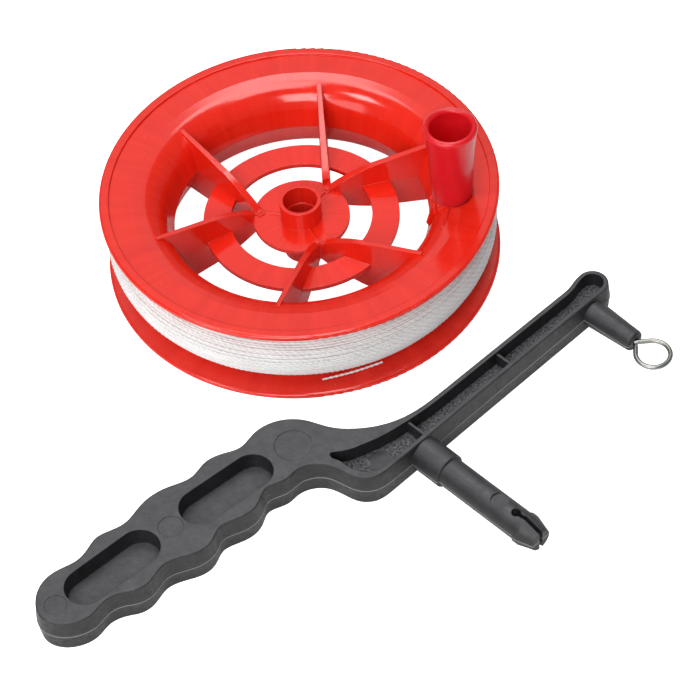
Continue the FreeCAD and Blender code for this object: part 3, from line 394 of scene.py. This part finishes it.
# reel halves
redMoulding = {
    "tones": ("#e22212", "#ea2a18"),
    "flowLines": 90,           # streaks round the reel where the melt ran outwards
    "speckTone": "#f7b0a6",
    "speckSize": 0.8,          # mm, larger than real dust so that it shows
    "speckShare": 0.4,         # how far a speck goes to its own tone
    "peel": 1.8,               # mm between the swells of the polished skin
    "scratchSize": 0.9,        # mm between hairline scratches, as coarse as they need to show
    "roughness": (0.12, 0.24),
    "witness": 91.0,           # mm radius of the tool insert's faint line on the flange
    "witnessWidth": 0.25,      # mm each way
    "witnessDepth": 1.5,       # beside the swells'
    "edge": 0.45,              # mm radius that the mould leaves on every edge
    "relief": 0.05,            # mm
    "bump": 0.12,
    "ior": 1.59,
    "scatter": 0.12,
    "scatterReach": (1.0, 0.2, 0.15),
    "scatterDepth": 2.0,       # mm that light goes into the wall
}


def makeRedMaterial():
    # High-impact polystyrene, injection moulded in a polished tool: bright red, glossy, with faint flow
    # streaks that run outwards and hairline scratches from handling
    material, tree = newMaterial("redPolystyrene")
    place = addNode(tree, "ShaderNodeTexCoord").outputs["Object"]
    parts = addNode(tree, "ShaderNodeSeparateXYZ", {0: place}).outputs
    heading = addNode(tree, "ShaderNodeMath", {0: parts["Y"], 1: parts["X"]}, operation="ARCTAN2")
    flat = addNode(tree, "ShaderNodeVectorMath", {0: place, 1: (1, 1, 0)}, operation="MULTIPLY")
    outwards = addNode(tree, "ShaderNodeVectorMath", {0: flat}, operation="LENGTH").outputs["Value"]
    polar = addNode(tree, "ShaderNodeCombineXYZ", {"X": heading, "Y": outwards, "Z": parts["Z"]})
    streaks = addNode(tree, "ShaderNodeTexNoise", {
        "Vector": polar, "Scale": redMoulding["flowLines"] / (2 * pi), "Detail": 4.0, "Roughness": 0.6})
    flow = addNode(tree, "ShaderNodeMapRange", {"Value": streaks, "From Min": 0.35, "From Max": 0.65})
    dark, light = redMoulding["tones"]
    flowTone = addNode(tree, "ShaderNodeMix", {"Factor": flow, "A": dark, "B": light}, data_type="RGBA")
    dust = addNode(tree, "ShaderNodeTexNoise", {
        "Vector": place, "Scale": perMetre(redMoulding["speckSize"]), "Detail": 2.0})
    specks = addNode(tree, "ShaderNodeMapRange", {
        "Value": dust, "From Min": 0.72, "From Max": 0.78, "To Min": 0.0,
        "To Max": redMoulding["speckShare"]})
    tone = addNode(tree, "ShaderNodeMix", {
        "Factor": specks, "A": flowTone, "B": redMoulding["speckTone"]}, data_type="RGBA")
    scratches = addNode(tree, "ShaderNodeTexNoise", {
        "Vector": place, "Scale": perMetre(redMoulding["scratchSize"]), "Detail": 5.0, "Roughness": 0.75})
    polished, scratched = redMoulding["roughness"]
    gloss = addNode(tree, "ShaderNodeMapRange", {
        "Value": scratches, "From Min": 0.45, "From Max": 0.75, "To Min": polished, "To Max": scratched})
    witness = addNode(tree, "ShaderNodeMath", {
        0: outwards, 1: redMoulding["witness"] * mm, 2: redMoulding["witnessWidth"] * mm},
        operation="COMPARE")
    swell = addNode(tree, "ShaderNodeTexNoise", {
        "Vector": place, "Scale": perMetre(redMoulding["peel"]), "Detail": 1.0})
    height = addNode(tree, "ShaderNodeMath", {
        0: witness, 1: -redMoulding["witnessDepth"], 2: swell}, operation="MULTIPLY_ADD")
    softEdge = addNode(tree, "ShaderNodeBevel", {"Radius": redMoulding["edge"] * mm}, samples=4)
    relief = addNode(tree, "ShaderNodeBump", {
        "Height": height, "Strength": redMoulding["bump"], "Distance": redMoulding["relief"] * mm,
        "Normal": softEdge})
    shader = addNode(tree, "ShaderNodeBsdfPrincipled", {
        "Base Color": tone, "Roughness": gloss, "IOR": redMoulding["ior"], "Normal": relief,
        "Subsurface Weight": redMoulding["scatter"], "Subsurface Radius": redMoulding["scatterReach"],
        "Subsurface Scale": redMoulding["scatterDepth"] * mm})
    addNode(tree, "ShaderNodeOutputMaterial", {"Surface": shader})
    return material


# crank knob
knobMoulding = {
    "tones": ("#d2141f", "#dc1c29"),
    "cloudSize": 6.0,      # mm across the uneven colour
    "swell": 1.2,          # mm
    "relief": 0.05,        # mm
    "bump": 0.15,
    "roughness": 0.26,
    "ior": 1.51,
    "scatter": 0.75,
    "scatterReach": (1.0, 0.1, 0.12),
    "scatterDepth": 12,    # mm that light goes into the wall
}


def makeKnobMaterial():
    # Polyethylene, injection moulded: a pinker red that lets light through its wall, with a waxy gloss
    material, tree = newMaterial("pinkPolyethylene")
    place = addNode(tree, "ShaderNodeTexCoord").outputs["Object"]
    clouds = addNode(tree, "ShaderNodeTexNoise", {
        "Vector": place, "Scale": perMetre(knobMoulding["cloudSize"]), "Detail": 2.0})
    dark, light = knobMoulding["tones"]
    tone = addNode(tree, "ShaderNodeMix", {"Factor": clouds, "A": dark, "B": light}, data_type="RGBA")
    swell = addNode(tree, "ShaderNodeTexNoise", {
        "Vector": place, "Scale": perMetre(knobMoulding["swell"]), "Detail": 2.0})
    relief = addNode(tree, "ShaderNodeBump", {
        "Height": swell, "Strength": knobMoulding["bump"], "Distance": knobMoulding["relief"] * mm})
    shader = addNode(tree, "ShaderNodeBsdfPrincipled", {
        "Base Color": tone, "Roughness": knobMoulding["roughness"], "IOR": knobMoulding["ior"],
        "Normal": relief, "Subsurface Weight": knobMoulding["scatter"],
        "Subsurface Radius": knobMoulding["scatterReach"],
        "Subsurface Scale": knobMoulding["scatterDepth"] * mm})
    addNode(tree, "ShaderNodeOutputMaterial", {"Surface": shader})
    return material


# handle
blackMoulding = {
    "tones": ("#131315", "#29292c"),
    "paintedTopLightTones": ("#434346", "#5a5a5e"),    # painted light on what faces up, lighter where rubbed
    "paintedTopLightShare": 0.65,                      # how far a level face goes to those painted-light tones
    "floorPaintedLightTones": ("#232326", "#77777b"),  # painted shade in the channel floor's pits and painted light on its high spots
    # painted highlight along the parting flash
    "flashPaintedHighlight": "#7c7c80",
    "roughness": (0.36, 0.52),
    "patch": 9.0,                          # mm across a rubbed patch
    "scuffWidth": 0.6,                     # mm, wider than real scuffs so that they show
    "scuffHeading": -41,                   # degrees: along the arm
    "scuffStretch": 0.15,                  # less is longer
    "scuffShare": 0.5,                     # how much the scuffs colour it, beside the patches
    "scuffDepth": 1.2,                     # beside the grain's
    "grain": 0.45,                         # mm
    "glossPatch": 2.5,                     # mm across a duller patch
    "channelFloor": 10.95,                 # mm height
    "floorReach": 0.04,                    # mm each way
    "pit": 1.1,                            # mm across the pits of the channel's floor
    "pitDepth": 14.0,                      # beside the grain's
    "parting": 9.75,                       # mm height of the parting line
    "partingStray": 0.6,                   # mm each way
    "strayWave": 40.0,                     # mm
    "flashWidth": 0.3,                     # mm each way, wider than the real flash so that it shows
    "edge": 0.5,                           # mm radius that the mould leaves on every edge
    "relief": 0.08,                        # mm
    "bump": 0.5,
    "ior": 1.5,
}


def makeBlackMaterial():
    # Polypropylene with carbon black, injection moulded: black under a dull skin, painted lighter on top for
    # the light from above, with rubbed patches, many fine scuffs along the arm, a rough channel floor
    # painted light and dark for the light on its pits, and a flash round the sides painted pale as a
    # highlight
    material, tree = newMaterial("blackPolypropylene")
    surface = addNode(tree, "ShaderNodeTexCoord").outputs
    place = surface["Object"]
    up = addNode(tree, "ShaderNodeSeparateXYZ", {0: place}).outputs["Z"]
    drawn = addNode(tree, "ShaderNodeMapping", {
        "Vector": place, "Rotation": (0, 0, radians(blackMoulding["scuffHeading"])),
        "Scale": (blackMoulding["scuffStretch"], 1.0, 1.0)})
    fine = addNode(tree, "ShaderNodeTexNoise", {
        "Vector": drawn, "Scale": perMetre(blackMoulding["scuffWidth"]), "Detail": 5.0, "Roughness": 0.75})
    scuffs = addNode(tree, "ShaderNodeMapRange", {"Value": fine, "From Min": 0.5, "From Max": 0.75})
    patches = addNode(tree, "ShaderNodeTexNoise", {
        "Vector": place, "Scale": perMetre(blackMoulding["patch"]), "Detail": 6.0, "Roughness": 0.75})
    rubbed = addNode(tree, "ShaderNodeMapRange", {"Value": patches, "From Min": 0.35, "From Max": 0.75})
    worn = addNode(tree, "ShaderNodeMath", {
        0: scuffs, 1: blackMoulding["scuffShare"], 2: rubbed}, operation="MULTIPLY_ADD")
    dark, light = blackMoulding["tones"]
    sideTone = addNode(tree, "ShaderNodeMix", {"Factor": worn, "A": dark, "B": light}, data_type="RGBA")
    # painted light: what faces up is drawn lighter for the light from above, in the rubbing's pattern
    dark, light = blackMoulding["paintedTopLightTones"]
    paintedTopLightTone = addNode(tree, "ShaderNodeMix", {"Factor": worn, "A": dark, "B": light}, data_type="RGBA")
    facing = addNode(tree, "ShaderNodeSeparateXYZ", {0: surface["Normal"]}).outputs["Z"]
    paintedTopLight = addNode(tree, "ShaderNodeMapRange", {
        "Value": facing, "From Min": 0.55, "From Max": 0.98, "To Min": 0.0,
        "To Max": blackMoulding["paintedTopLightShare"]})
    skinAndPaintedTopLight = addNode(tree, "ShaderNodeMix", {"Factor": paintedTopLight, "A": sideTone, "B": paintedTopLightTone}, data_type="RGBA")

    # the channel's floor keeps the tool's rough, unpolished skin, painted pale on its high spots and dark in
    # its pits for the light on it
    onFloor = addNode(tree, "ShaderNodeMath", {
        0: up, 1: blackMoulding["channelFloor"] * mm, 2: blackMoulding["floorReach"] * mm},
        operation="COMPARE")
    pits = addNode(tree, "ShaderNodeTexNoise", {
        "Vector": place, "Scale": perMetre(blackMoulding["pit"]), "Detail": 3.0, "Roughness": 0.7})
    pitPaintedLightShare = addNode(tree, "ShaderNodeMapRange", {"Value": pits, "From Min": 0.4, "From Max": 0.65})
    # painted light and painted shade on the rough floor
    dark, light = blackMoulding["floorPaintedLightTones"]
    floorPaintedLight = addNode(tree, "ShaderNodeMix", {"Factor": pitPaintedLightShare, "A": dark, "B": light}, data_type="RGBA")
    withPaintedFloorLight = addNode(tree, "ShaderNodeMix", {
        "Factor": onFloor, "A": skinAndPaintedTopLight, "B": floorPaintedLight}, data_type="RGBA")

    # the tool's halves leave a fine flash that strays round the sides, painted pale as a highlight along its
    # ridge
    wave = addNode(tree, "ShaderNodeTexNoise", {
        "Vector": place, "Scale": perMetre(blackMoulding["strayWave"]), "Detail": 1.0})
    lowest = (blackMoulding["parting"] - blackMoulding["partingStray"]) * mm
    highest = (blackMoulding["parting"] + blackMoulding["partingStray"]) * mm
    stray = addNode(tree, "ShaderNodeMapRange", {
        "Value": wave, "From Min": 0.3, "From Max": 0.7, "To Min": lowest, "To Max": highest})
    paintedFlashHighlight = addNode(tree, "ShaderNodeMath", {
        0: up, 1: stray, 2: blackMoulding["flashWidth"] * mm}, operation="COMPARE")
    # painted highlight: the flash line is drawn pale
    tone = addNode(tree, "ShaderNodeMix", {
        "Factor": paintedFlashHighlight, "A": withPaintedFloorLight, "B": blackMoulding["flashPaintedHighlight"]}, data_type="RGBA")

    patches = addNode(tree, "ShaderNodeTexNoise", {
        "Vector": place, "Scale": perMetre(blackMoulding["glossPatch"]), "Detail": 5.0})
    smoothest, dullest = blackMoulding["roughness"]
    gloss = addNode(tree, "ShaderNodeMapRange", {
        "Value": patches, "From Min": 0.35, "From Max": 0.65, "To Min": smoothest, "To Max": dullest})
    grain = addNode(tree, "ShaderNodeTexNoise", {
        "Vector": place, "Scale": perMetre(blackMoulding["grain"]), "Detail": 4.0, "Roughness": 0.7})
    marks = addNode(tree, "ShaderNodeMath", {
        0: scuffs, 1: -blackMoulding["scuffDepth"], 2: grain}, operation="MULTIPLY_ADD")
    floorPits = addNode(tree, "ShaderNodeMath", {0: pits, 1: onFloor}, operation="MULTIPLY")
    height = addNode(tree, "ShaderNodeMath", {
        0: floorPits, 1: blackMoulding["pitDepth"], 2: marks}, operation="MULTIPLY_ADD")
    softEdge = addNode(tree, "ShaderNodeBevel", {"Radius": blackMoulding["edge"] * mm}, samples=4)
    relief = addNode(tree, "ShaderNodeBump", {
        "Height": height, "Strength": blackMoulding["bump"], "Distance": blackMoulding["relief"] * mm,
        "Normal": softEdge})
    shader = addNode(tree, "ShaderNodeBsdfPrincipled", {
        "Base Color": tone, "Roughness": gloss, "IOR": blackMoulding["ior"], "Normal": relief})
    addNode(tree, "ShaderNodeOutputMaterial", {"Surface": shader})
    return material


# screw eye, screw and washer
zincPlating = {
    "tones": ("#949ca0", "#aea99c"),
    "castSize": 11.0,              # mm across the blue and yellow casts
    "roughness": (0.28, 0.4),
    "glossPatch": 1.5,             # mm across a duller patch
}


def makeZincMaterial():
    # Mild steel wire, drawn and zinc plated: bright grey with a faint blue and yellow cast
    material, tree = newMaterial("zincPlatedWire")
    place = addNode(tree, "ShaderNodeTexCoord").outputs["Object"]
    cast = addNode(tree, "ShaderNodeTexNoise", {
        "Vector": place, "Scale": perMetre(zincPlating["castSize"]), "Detail": 2.0})
    blue, yellow = zincPlating["tones"]
    tone = addNode(tree, "ShaderNodeMix", {"Factor": cast, "A": blue, "B": yellow}, data_type="RGBA")
    patches = addNode(tree, "ShaderNodeTexNoise", {
        "Vector": place, "Scale": perMetre(zincPlating["glossPatch"]), "Detail": 3.0})
    bright, dull = zincPlating["roughness"]
    gloss = addNode(tree, "ShaderNodeMapRange", {
        "Value": patches, "From Min": 0.3, "From Max": 0.7, "To Min": bright, "To Max": dull})
    shader = addNode(tree, "ShaderNodeBsdfPrincipled", {
        "Base Color": tone, "Metallic": 1.0, "Roughness": gloss})
    addNode(tree, "ShaderNodeOutputMaterial", {"Surface": shader})
    return material


redMaterial = makeRedMaterial()
knobMaterial = makeKnobMaterial()
blackMaterial = makeBlackMaterial()
zincMaterial = makeZincMaterial()
nodeMaterials = {
    "reel_front_half": redMaterial,
    "reel_back_half": redMaterial,
    "crank_knob": knobMaterial,
    "knob_washer": zincMaterial,
    "knob_screw": zincMaterial,
    "handle": blackMaterial,
    "screw_eye": zincMaterial,
}
for name, material in nodeMaterials.items():
    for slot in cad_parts[name].material_slots:
        slot.material = material
print("materials set")


# floor and light
stage = {
    "floorSize": 12.0,          # m
    "floorColor": "#f4f4f4",
    "floorRoughness": 0.9,
    "floorGlow": 1.0,           # light that the floor shows of itself, as a lit acrylic table does
    "floorShine": 0.1,          # the same in reflections
    "worldLight": 0.16,         # the surround's light on the object
}
# each lamp as place, aim, width, depth and power in watts
softboxes = {
    "overheadSoftbox": ((0.12, 0.02, 1.40), (0.0, 0.0, 0.0), 0.60, 0.60, 4.8),
    "rearStrip": ((0.0, 0.50, 1.40), (0.0, 0.0, 0.0), 0.90, 0.35, 4.0),
    "keySoftbox": ((-0.90, -0.35, 1.50), (0.0, -0.05, 0.0), 0.40, 0.40, 5.0),
    "leftFill": ((-0.85, -1.10, 0.50), (0.0, 0.0, 0.03), 0.90, 0.90, 5.5),
    "frontFill": ((-0.25, -1.25, 1.10), (0.0, 0.0, 0.0), 0.80, 0.80, 12.0),
    "rearScrim": ((0.0, 1.30, 1.50), (0.0, 0.0, 0.0), 1.60, 1.60, 4.5),
}


def makeFloorMaterial():
    # Opal acrylic table, lit from below: it shows white to the eye and in reflections, and keeps shadows
    material, tree = newMaterial("opalAcrylic")
    ray = addNode(tree, "ShaderNodeLightPath").outputs
    shine = addNode(tree, "ShaderNodeMath", {
        0: ray["Is Glossy Ray"], 1: stage["floorShine"]}, operation="MULTIPLY")
    glow = addNode(tree, "ShaderNodeMath", {
        0: ray["Is Camera Ray"], 1: stage["floorGlow"], 2: shine}, operation="MULTIPLY_ADD")
    shader = addNode(tree, "ShaderNodeBsdfPrincipled", {
        "Base Color": stage["floorColor"], "Roughness": stage["floorRoughness"],
        "Emission Color": (1, 1, 1, 1), "Emission Strength": glow})
    addNode(tree, "ShaderNodeOutputMaterial", {"Surface": shader})
    return material


def buildFloor(shape):
    half = stage["floorSize"] / 2
    corners = [shape.verts.new((x * half, y * half, 0)) for x, y in ((-1, -1), (1, -1), (1, 1), (-1, 1))]
    shape.faces.new(corners)


floor = meshObject("floor", buildFloor, makeFloorMaterial(), smooth=False)

# a white surround to the eye, and a dim one to the object
world = bpy.data.worlds.new("studio")
world.use_nodes = True
bpy.context.scene.world = world
sky = world.node_tree
sky.nodes.clear()
rays = addNode(sky, "ShaderNodeLightPath").outputs
direct = addNode(sky, "ShaderNodeMath", {
    0: rays["Is Camera Ray"], 1: 1.0 - stage["worldLight"]}, operation="MULTIPLY")
strength = addNode(sky, "ShaderNodeMath", {0: direct, 1: stage["worldLight"]}, operation="ADD")
background = addNode(sky, "ShaderNodeBackground", {"Color": (1, 1, 1, 1), "Strength": strength})
addNode(sky, "ShaderNodeOutputWorld", {"Surface": background})


def addSoftbox(name, place, aim, width, depth, power):
    lamp = bpy.data.lights.new(name, "AREA")
    lamp.shape = "RECTANGLE"
    lamp.size = width
    lamp.size_y = depth
    lamp.energy = power
    holder = bpy.data.objects.new(name, lamp)
    way = Vector(aim) - Vector(place)
    holder.matrix_world = Matrix.Translation(place) @ way.to_track_quat("-Z", "Y").to_matrix().to_4x4()
    bpy.context.scene.collection.objects.link(holder)


for name, setup in softboxes.items():
    addSoftbox(name, *setup)
bpy.context.scene.view_settings.view_transform = "Standard"
print("stage lit")
